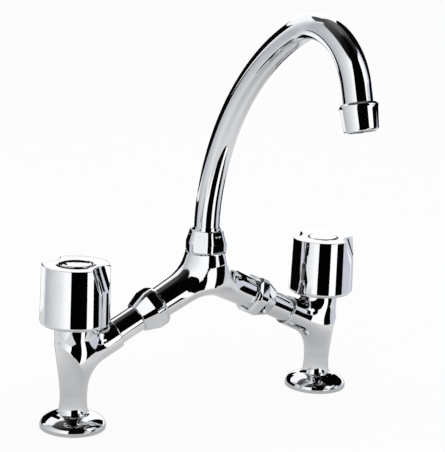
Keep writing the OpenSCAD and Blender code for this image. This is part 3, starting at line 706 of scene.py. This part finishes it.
spout = ringed("spout_tube_skin", spout_rings(LINE, TUBE_R) + spout_rings(LINE[::-1], BORE_R), chrome_on_tube)
dress(spout, "spout", ["spout_tube"])
(ahead, up), heading = LINE[-1]
out_of_spout = np.array([0, -math.sin(heading), math.cos(heading)])
shell_start = np.array([0, -ahead, up]) - SHELL_LAP * out_of_spout
rings = placed(turned_rings(SHELL_OUTLINE, 144), shell_start, out_of_spout, (1, 0, 0))
dress(ringed("aerator_shell_skin", rings, chrome_on_turning), "spout", ["aerator_shell"])

# %% [markdown]
# ## Handles
# A handle is a drum with two finger scoops, opposite each other, that lean out and run into a narrow groove.
# The outside is a row of rings again: at each height the radius is the smaller of the drum and the scoop. The
# columns of points are drawn to the edge of the scoop at every height, so that the mirror breaks there in one
# clean line.

# %% Scoops of a handle
SCOOP_TILT = math.radians(19.5)
SCOOP_R, SCOOP_AXIS = 18.0, 34.5
GROOVE_R, GROOVE_AXIS = 10.0, 31.2
NO_SCOOP = 99.0
# half the width of the strip along a scoop's edge, and the columns of points in scoop, strip and drum
LIP_HALF, SCOOP_COLUMNS, LIP_COLUMNS, DRUM_COLUMNS = 0.45, 26, 7, 34


def scoop_radius(angle, z):
    """how far out the scoop or the groove leaves the metal, in a direction from the middle of the scoop"""
    found = np.full(angle.shape, NO_SCOOP)
    scoop = (SCOOP_AXIS + (HANDLE_TOP - z) * math.tan(SCOOP_TILT), SCOOP_R / math.cos(SCOOP_TILT), SCOOP_R)
    for centre, half_x, half_y in (scoop, (GROOVE_AXIS, GROOVE_R, GROOVE_R)):
        a = (np.cos(angle) / half_x) ** 2 + (np.sin(angle) / half_y) ** 2
        b = -2 * centre * np.cos(angle) / half_x ** 2
        c = (centre / half_x) ** 2 - 1
        inside = b * b - 4 * a * c
        root = (-b - np.sqrt(np.maximum(inside, 0))) / (2 * a)
        found = np.where((inside > 0) & (np.cos(angle) > 0), np.minimum(found, root), found)
    return found


def drum_columns(drum_r, z):
    """angles round the handle, drawn together at the edges of the two scoops"""
    probe = np.linspace(0, math.radians(80), 1600)
    cut = scoop_radius(probe, z) < drum_r
    edge = probe[cut][-1] if cut.any() else probe[0]
    lip = LIP_HALF / drum_r
    quarter = np.concatenate([np.linspace(0, edge - lip, SCOOP_COLUMNS)[:-1],
                              np.linspace(edge - lip, edge + lip, LIP_COLUMNS),
                              np.linspace(edge + lip, math.pi / 2, DRUM_COLUMNS)[1:]])
    half = np.concatenate([-quarter[:0:-1], quarter[:-1]])
    return np.concatenate([half, half + math.pi])


scoop_floor = float(scoop_radius(np.zeros(1), HANDLE_TOP)[0])
print("floor of a scoop at the handle's top is", round(scoop_floor, 2), "mm from the axis")

# %% [markdown]
# ## Drum and inside of a handle
# The drum is a die casting with a slight taper, so that it leaves its mould, and with a rounded lower edge.
# Inside it is hollow, with a boss in the middle for the splined insert, and a round seat for the button.

# %% Drum handles
HANDLE_R, HANDLE_TAPER, HANDLE_EDGE, HANDLE_RIM = 23.2, 0.7, 2.4, 0.4
SEAT_RIM_R, BUTTON_SEAT_R, BUTTON_DEPTH = 11.4, 11.05, 3
INSERT_TOP, INSERT_BOTTOM, INSERT_R = 106, 97, 6.5 + FIT
BOSS_R, CAVITY_R, CAVITY_TOP, SCREW_HOLE_R = 9.5, 19, 101.6, 4
HANDLE_INSIDE = softened([
    (BUTTON_SEAT_R, HANDLE_TOP, 0.25), (BUTTON_SEAT_R, HANDLE_TOP - BUTTON_DEPTH, 0),
    (SCREW_HOLE_R, HANDLE_TOP - BUTTON_DEPTH, 0), (SCREW_HOLE_R, INSERT_TOP, 0), (INSERT_R, INSERT_TOP, 0),
    (INSERT_R, INSERT_BOTTOM, 0), (BOSS_R, INSERT_BOTTOM, 0), (BOSS_R, CAVITY_TOP, 0),
    (CAVITY_R, CAVITY_TOP, 0), (CAVITY_R, HANDLE_FOOT, 0.4)])
# degrees from the user's side
SCOOP_FACING = {"left": 30, "right": 40}


def handle_rings():
    """rings of a handle whose first scoop faces +X"""
    edge = HANDLE_FOOT + HANDLE_EDGE
    wall_height = HANDLE_TOP - HANDLE_RIM - edge
    foot = bow((21.6, HANDLE_FOOT), (22.9, HANDLE_FOOT + 0.5), (HANDLE_R, edge), 8)
    wall = [(HANDLE_R - HANDLE_TAPER * t, edge + t * wall_height) for t in np.linspace(0, 1, 56)[1:]]
    rings = []
    for drum_r, z in list(foot) + wall:
        angle = drum_columns(drum_r, z)
        nearest = np.minimum(scoop_radius(angle, z), scoop_radius(angle - math.pi, z))
        top = soft_min(np.full(angle.shape, drum_r), nearest, 0.3)
        rings.append(around(top, angle, z))
    for bevel in np.radians((22, 45, 68, 90)):
        z = HANDLE_TOP - HANDLE_RIM + HANDLE_RIM * math.sin(bevel)
        rings.append(around(top - HANDLE_RIM * (1 - math.cos(bevel)), angle, z))
    face = top - HANDLE_RIM
    for share in (0.03, 0.25, 0.6, 0.95):
        rings.append(around(face + (SEAT_RIM_R - face) * share, angle, HANDLE_TOP))
    for r, z in HANDLE_INSIDE:
        rings.append(around(r, angle, z))
    return np.array(rings)


DRUM = handle_rings()
for hand, side in SIDES:
    facing = np.array(Matrix.Rotation(math.radians(SCOOP_FACING[hand] - 90), 3, "Z"))
    rings = DRUM @ facing.T + [side * HALF_BRIDGE, 0, 0]
    dress(ringed(f"{hand}_handle_skin", rings, chrome_on_handle), f"{hand}_handle_set", [f"{hand}_handle"])

# %% [markdown]
# ## Buttons
# The round button closes the handle's top. It is a pressed cap with a soft dome, and a fine dark gap lies
# round it. It starts and ends in a tiny ring on its axis, so that the same function can close it.

# %% Buttons in the handles' tops
BUTTON_R, DOME_R, DOME_TOP, DOME_FALL, TINY = 10.75, 9.4, HANDLE_TOP + 0.8, 0.5, 0.01
BUTTON_BACK = HANDLE_TOP - 2.95
dome = [(r, DOME_TOP - DOME_FALL * (r / DOME_R) ** 2) for r in np.linspace(1, DOME_R, 12)]
button = np.concatenate([[(TINY, DOME_TOP)], dome,
                         softened([(BUTTON_R, HANDLE_TOP + 0.1, 0.5), (BUTTON_R, BUTTON_BACK, 0)]),
                         [(TINY, BUTTON_BACK)]])
for hand, side in SIDES:
    rings = turned_rings(button, 96) + [side * HALF_BRIDGE, 0, 0]
    cap = ringed(f"{hand}_button_cap", rings, chrome_on_turning)
    dress(cap, f"{hand}_handle_set", [f"{hand}_handle_button"])

# %% [markdown]
# ## Pieces that keep their CAD shape
# The headwork, seals, clips and aerator parts are right as the CAD has them. They get the finish of their
# stuff, by the material slot that the CAD record gives them. The spout's foot is plated as a turned piece.

# %% Finishes for the CAD pieces
FINISH_OF_SLOT = {"chrome": chrome_on_turning, "brass": turned_brass, "steel": stainless_steel,
                  "black_rubber": nitrile_rubber, "fibre": red_fibre, "white_plastic": white_acetal,
                  "grey_plastic": grey_acetal}
finish_of = {part["node"]: FINISH_OF_SLOT[part["material_slot"]] for part in frame["record"]["subparts"]}
finish_of["spout_spigot"] = chrome_on_turning
shown = [name for name, node in frame["nodes"].items() if not node.hide_render]
for name in shown:
    node = frame["nodes"][name]
    node.data.materials.clear()
    node.data.materials.append(finish_of[name])
print("CAD pieces shown:", len(shown))

# %% [markdown]
# ## Camera
# The camera stands where the photographer's stood: a little above the mixer, to the left of its middle, and
# about a metre away. Its place and lens were fitted to the outlines in the photograph. Places in the studio
# are given on plan from here on: RIGHT is the camera's right, and NEAR is the way from the mixer towards it.

# %% Camera at the photograph's angle
AZIMUTH, ELEVATION, ROLL = math.radians(-33.71), math.radians(12.49), math.radians(2.5)
CAMERA_DISTANCE = 1051.65
AIM = (12.66, 0, 127.08)
SENSOR_MM, LENS_PIXELS, PICTURE_PIXELS = 36, 1531.65, 452
NEAR = Vector((math.sin(AZIMUTH), -math.cos(AZIMUTH), 0))
RIGHT = Vector((math.cos(AZIMUTH), math.sin(AZIMUTH), 0))
towards_camera = NEAR * math.cos(ELEVATION) + Vector((0, 0, math.sin(ELEVATION)))
camera = bpy.data.objects.new("camera", bpy.data.cameras.new("camera"))
bpy.context.scene.collection.objects.link(camera)
camera.location = Vector(AIM) * MM + towards_camera * CAMERA_DISTANCE * MM
upright = towards_camera.to_track_quat("Z", "Y").to_matrix()
camera.rotation_euler = (upright @ Matrix.Rotation(ROLL, 3, "Z")).to_euler()
camera.data.sensor_width = SENSOR_MM
camera.data.lens = LENS_PIXELS * SENSOR_MM / PICTURE_PIXELS
bpy.context.scene.camera = camera
print("camera at", [round(v, 3) for v in camera.location], "lens", round(camera.data.lens, 1))

# %% [markdown]
# ## Cards
# A mirror has no look of its own, so the studio is part of the finish. Black and white cards stand round the
# mixer and give the plate its bands. They are only seen in reflections, so they neither hide the mixer nor
# light it. A photographer would hang them in the same way, and would pull them aside out of the picture.

# %% Cards that only reflections see
def glow(name, colour, strength=1.0):
    """a surface that gives off an even light"""
    finish = bpy.data.materials.new(name)
    finish.use_nodes = True
    tree = finish.node_tree
    tree.nodes.clear()
    light = add(tree, "ShaderNodeEmission", inputs={"Color": linear(colour), "Strength": strength})
    add(tree, "ShaderNodeOutputMaterial", inputs={"Surface": light.outputs["Emission"]})
    return finish


def seen_in_mirrors_only(card):
    """hides a card from all rays but those of a mirror"""
    card.visible_camera = card.visible_diffuse = card.visible_shadow = card.visible_transmission = False
    card.visible_volume_scatter = False


def studio_card(name, corners, colour, strength=1.0):
    """a flat card through corners in metres"""
    mesh = bpy.data.meshes.new(name)
    mesh.from_pydata([tuple(c) for c in corners], [], [tuple(range(len(corners)))])
    mesh.materials.append(glow(name, colour, strength))
    card = bpy.data.objects.new(name, mesh)
    bpy.context.scene.collection.objects.link(card)
    seen_in_mirrors_only(card)
    return card


def from_plan(right, near, height):
    """a place in metres, from millimetres to the right, towards the camera and up"""
    return (RIGHT * right + NEAR * near) * MM + Vector((0, 0, height * MM))


def standing_card(name, start, end, low, high, colour, strength=1.0):
    """an upright card between two places on plan, given as (right, towards the camera) in millimetres"""
    outline = ((start, low), (end, low), (end, high), (start, high))
    return studio_card(name, [from_plan(*place, height) for place, height in outline], colour, strength)


LOW, CARD_TOP, HIGH = -1500, 140, 2500
JET, BLACK, WHITE, COOL_GREY = "#030303", "#050505", "#ffffff", "#c9ccd6"
CARDS = (
    ("black gap by the camera", (-322, 1500), (431, 591), LOW, HIGH, JET),
    ("white strip", (431, 591), (648, 389), LOW, CARD_TOP, WHITE, 1.2),
    ("black beside the upper strip", (431, 591), (500, 530), CARD_TOP, HIGH, JET),
    ("black over the white strip", (500, 530), (640, 396), CARD_TOP, 290, JET),
    ("upper white strip", (500, 530), (667, 273), 290, 430, WHITE, 1.2),
    ("black over the upper strip", (500, 530), (640, 396), 430, HIGH, JET),
    ("white over the upper strip", (640, 396), (700, 50), 430, 1000, WHITE, 1.2),
    ("black card right", (648, 389), (920, 89), LOW, CARD_TOP, JET),
    ("black card right above", (667, 273), (672, 60), CARD_TOP, 350, JET),
    ("black ledge", (672, 60), (400, -250), 265, 350, JET),
    ("grey wall right", (920, 89), (1300, -900), LOW, 200, COOL_GREY, 1.1),
    ("black card at the right back", (940, -240), (330, -930), 200, 1750, BLACK),
    ("near card at the left back", (-100, -260), (-138, -23), 0, 118, BLACK),
    ("far card at the left back", (-240, -1000), (-866, -500), 0, 520, BLACK),
    ("low far card at the left", (-866, -500), (-960, -300), 0, 150, BLACK),
    ("low far card at the back", (-90, -1000), (-240, -1000), 0, 365, BLACK))
CROWN_CARD_HEIGHT = 600
CROWN_CARD_CORNERS = ((-105, 3), (-306, -82), (-146, -262), (-36, -72))

for card in CARDS:
    standing_card(*card)
overhead = [from_plan(*place, CROWN_CARD_HEIGHT) for place in CROWN_CARD_CORNERS]
studio_card("dark card over the crown", overhead, "#4e4e4e")
print("cards round the mixer:", len(CARDS) + 1)

# %% [markdown]
# ## Table
# The undersides and stems reflect the table, which is pale. The mirrors see a card with a painted shadow:
# darker near each foot, where the mixer keeps the light off the table. The eye sees the floor below.

# %% Table that the mirrors see
TABLE_DROP = 0.2 * MM
TABLE_CORNERS = ((-0.26, -0.14), (0.28, -0.15), (0.28, 0.3), (-0.26, 0.3))
# painted shadow: greys of the table card from each pillar's foot outwards, darkest at the foot
TABLE_PAINTED_SHADOW_GREYS = [(0.0, "#b6b6b7"), (0.45, "#cacaca"), (1.0, "#e2e2e2")]
PAINTED_SHADOW_START, PAINTED_SHADOW_END = 0.02, 0.13


def to_nearer_foot(tree):
    """distance of the shaded point to the nearer pillar's foot, in metres"""
    place = add(tree, "ShaderNodeTexCoord").outputs["Object"]
    gaps = [add(tree, "ShaderNodeVectorMath", {"operation": "DISTANCE"},
                {0: place, 1: (side * HALF_BRIDGE * MM, 0, 0)}).outputs["Value"] for _, side in SIDES]
    return calculate(tree, "MINIMUM", *gaps)


table = studio_card("table", [(x, y, -TABLE_DROP) for x, y in TABLE_CORNERS], "#dcdcdc")
shade = table.data.materials[0].node_tree
# painted shadow: the card's colour darkens towards the nearer foot
painted_foot_shadow = ramp(shade, between(shade, to_nearer_foot(shade), start=PAINTED_SHADOW_START, end=PAINTED_SHADOW_END), TABLE_PAINTED_SHADOW_GREYS)
shade.links.new(painted_foot_shadow, next(n for n in shade.nodes if n.type == "EMISSION").inputs["Color"])
print("table shaded from", PAINTED_SHADOW_START, "to", PAINTED_SHADOW_END, "m from each foot")

# %% [markdown]
# ## Floor
# The picture's ground is plain white with a faint shadow under the feet. The floor shows mostly white to the
# eye and keeps a small share of its own lit surface, which carries the shadow.

# %% Floor under the mixer
FLOOR_DROP, FLOOR_HALF = 0.3 * MM, 8
WHITE_SHARE = 0.9


def ground():
    """a pale floor that shows white to the eye and keeps the shadow"""
    finish, tree, surface = new_finish("pale studio floor")
    fleck = add(tree, "ShaderNodeTexNoise", inputs={"Scale": 300.0}).outputs["Fac"]
    link_surface(tree, surface, {"Base Color": ramp(tree, fleck, [(0.3, "#e9e9e9"), (0.7, "#ededed")])})
    surface.inputs["Roughness"].default_value = 1.0
    surface.inputs["Specular IOR Level"].default_value = 0.0
    rays = add(tree, "ShaderNodeLightPath")
    white = add(tree, "ShaderNodeEmission", inputs={"Color": linear(WHITE), "Strength": 1.0})
    eye = calculate(tree, "MULTIPLY", rays.outputs["Is Camera Ray"], WHITE_SHARE)
    out = next(n for n in tree.nodes if n.type == "OUTPUT_MATERIAL")
    mixed = blend(tree, eye, surface.outputs["BSDF"], white.outputs["Emission"])
    tree.links.new(mixed, out.inputs["Surface"])
    mesh = bpy.data.meshes.new("floor")
    corners = [(x * FLOOR_HALF, y * FLOOR_HALF, -FLOOR_DROP) for x, y in ((-1, -1), (1, -1), (1, 1), (-1, 1))]
    mesh.from_pydata(corners, [], [(0, 1, 2, 3)])
    mesh.materials.append(finish)
    floor = bpy.data.objects.new("floor", mesh)
    bpy.context.scene.collection.objects.link(floor)
    floor.visible_glossy = False


ground()
print("floor of", 2 * FLOOR_HALF, "m")

# %% [markdown]
# ## Room
# The room is white to the eye. In mirrors it has pale walls, some cooler and darker than others, under a dark
# ceiling, and a soft edge between the two. Where that edge lies changes round the room: the ramp of greys
# called wall tops is a ramp of heights, and its linear lightness is the height on a sphere from 0 to 1. In
# all three ramps 0 and 1 lie opposite the camera, 0.25 to its left, 0.5 behind it and 0.75 to its right.

# %% Room for the eye, for mirrors and for everything else
WALLS = [(0.0, "#fbfbfb"), (0.16, "#f4f4f5"), (0.2, "#adb0b5"), (0.29, "#cbcdcf"), (0.375, "#e4e5e5"),
         (0.43, "#fbfbfb"), (0.68, "#f2f3f5"), (0.74, "#cdd0d8"), (0.85, "#c6c9d2"), (0.9, "#fbfbfb")]
CEILING = [(0.0, "#6a6a6a"), (0.2, "#444444"), (0.36, "#161616"), (0.5, "#060606"), (0.68, "#060606"),
           (0.8, "#303030"), (1.0, "#6a6a6a")]
WALL_TOPS = [(0.0, "#e6e6e6"), (0.17, "#e6e6e6"), (0.22, "#dadada"), (0.75, "#dcdcdc"), (0.9, "#e6e6e6")]
EDGE_HALF = 0.03


def room_in_mirrors(tree):
    """colour of the room in each direction; the ramps go once round it, left of the camera first"""
    direction = add(tree, "ShaderNodeTexCoord").outputs["Generated"]
    side, ahead = (add(tree, "ShaderNodeVectorMath", {"operation": "DOT_PRODUCT"},
                       {0: direction, 1: tuple(axis)}).outputs["Value"] for axis in (RIGHT, NEAR))
    height = add(tree, "ShaderNodeSeparateXYZ", inputs={"Vector": direction}).outputs["Z"]
    share = between(tree, calculate(tree, "ARCTAN2", side, ahead), start=-math.pi, end=math.pi)
    over = calculate(tree, "SUBTRACT", height, ramp(tree, share, WALL_TOPS))
    upper = between(tree, over, start=-EDGE_HALF, end=EDGE_HALF, how="SMOOTHSTEP")
    return add(tree, "ShaderNodeMix", {"data_type": "RGBA"},
               {0: upper, 6: ramp(tree, share, WALLS), 7: ramp(tree, share, CEILING)}).outputs[2]


def background(tree, colour, strength):
    """a background shader; the colour is a value or a socket"""
    shader = add(tree, "ShaderNodeBackground", inputs={"Color": colour, "Strength": strength})
    return shader.outputs["Background"]


def room():
    """white to the eye and through glass, a soft studio in mirrors, and even light on everything else"""
    world = bpy.data.worlds.new("studio")
    bpy.context.scene.world = world
    world.use_nodes = True
    tree = world.node_tree
    tree.nodes.clear()
    rays = add(tree, "ShaderNodeLightPath").outputs
    mirror = background(tree, room_in_mirrors(tree), 1.2)
    white = background(tree, linear(WHITE), 1.0)
    soft = background(tree, linear("#f8f9ff"), 0.85)
    eye = calculate(tree, "MAXIMUM", rays["Is Camera Ray"], rays["Is Transmission Ray"])
    seen = blend(tree, eye, blend(tree, rays["Is Glossy Ray"], soft, mirror), white)
    add(tree, "ShaderNodeOutputWorld", inputs={"Surface": seen})
    print("room of", len(tree.nodes), "nodes")


room()

# %% [markdown]
# ## Lamps
# Two weak square lamps high above give the rubber and the floor a soft shadow. Mirrors don't see them, so
# that the bands on the plate come from the cards and the room alone.

# %% Lamps and the view
def soft_lamp(name, place, size, power):
    """a square lamp that looks at the middle of the mixer"""
    lamp = bpy.data.objects.new(name, bpy.data.lights.new(name, "AREA"))
    lamp.data.shape, lamp.data.size, lamp.data.size_y, lamp.data.energy = "RECTANGLE", size, size, power
    lamp.location = place
    lamp.rotation_euler = (Vector(place) - Vector((0, 0, 0.1))).to_track_quat("Z", "Y").to_euler()
    bpy.context.scene.collection.objects.link(lamp)
    lamp.visible_glossy = False
    print(name, "at", place, "gives", power, "W")


soft_lamp("soft lamp left", (-0.9, -1.0, 1.4), 1.2, 5)
soft_lamp("soft lamp above", (0.3, 0.6, 1.8), 1.5, 5)
bpy.context.scene.view_settings.view_transform = "Standard"
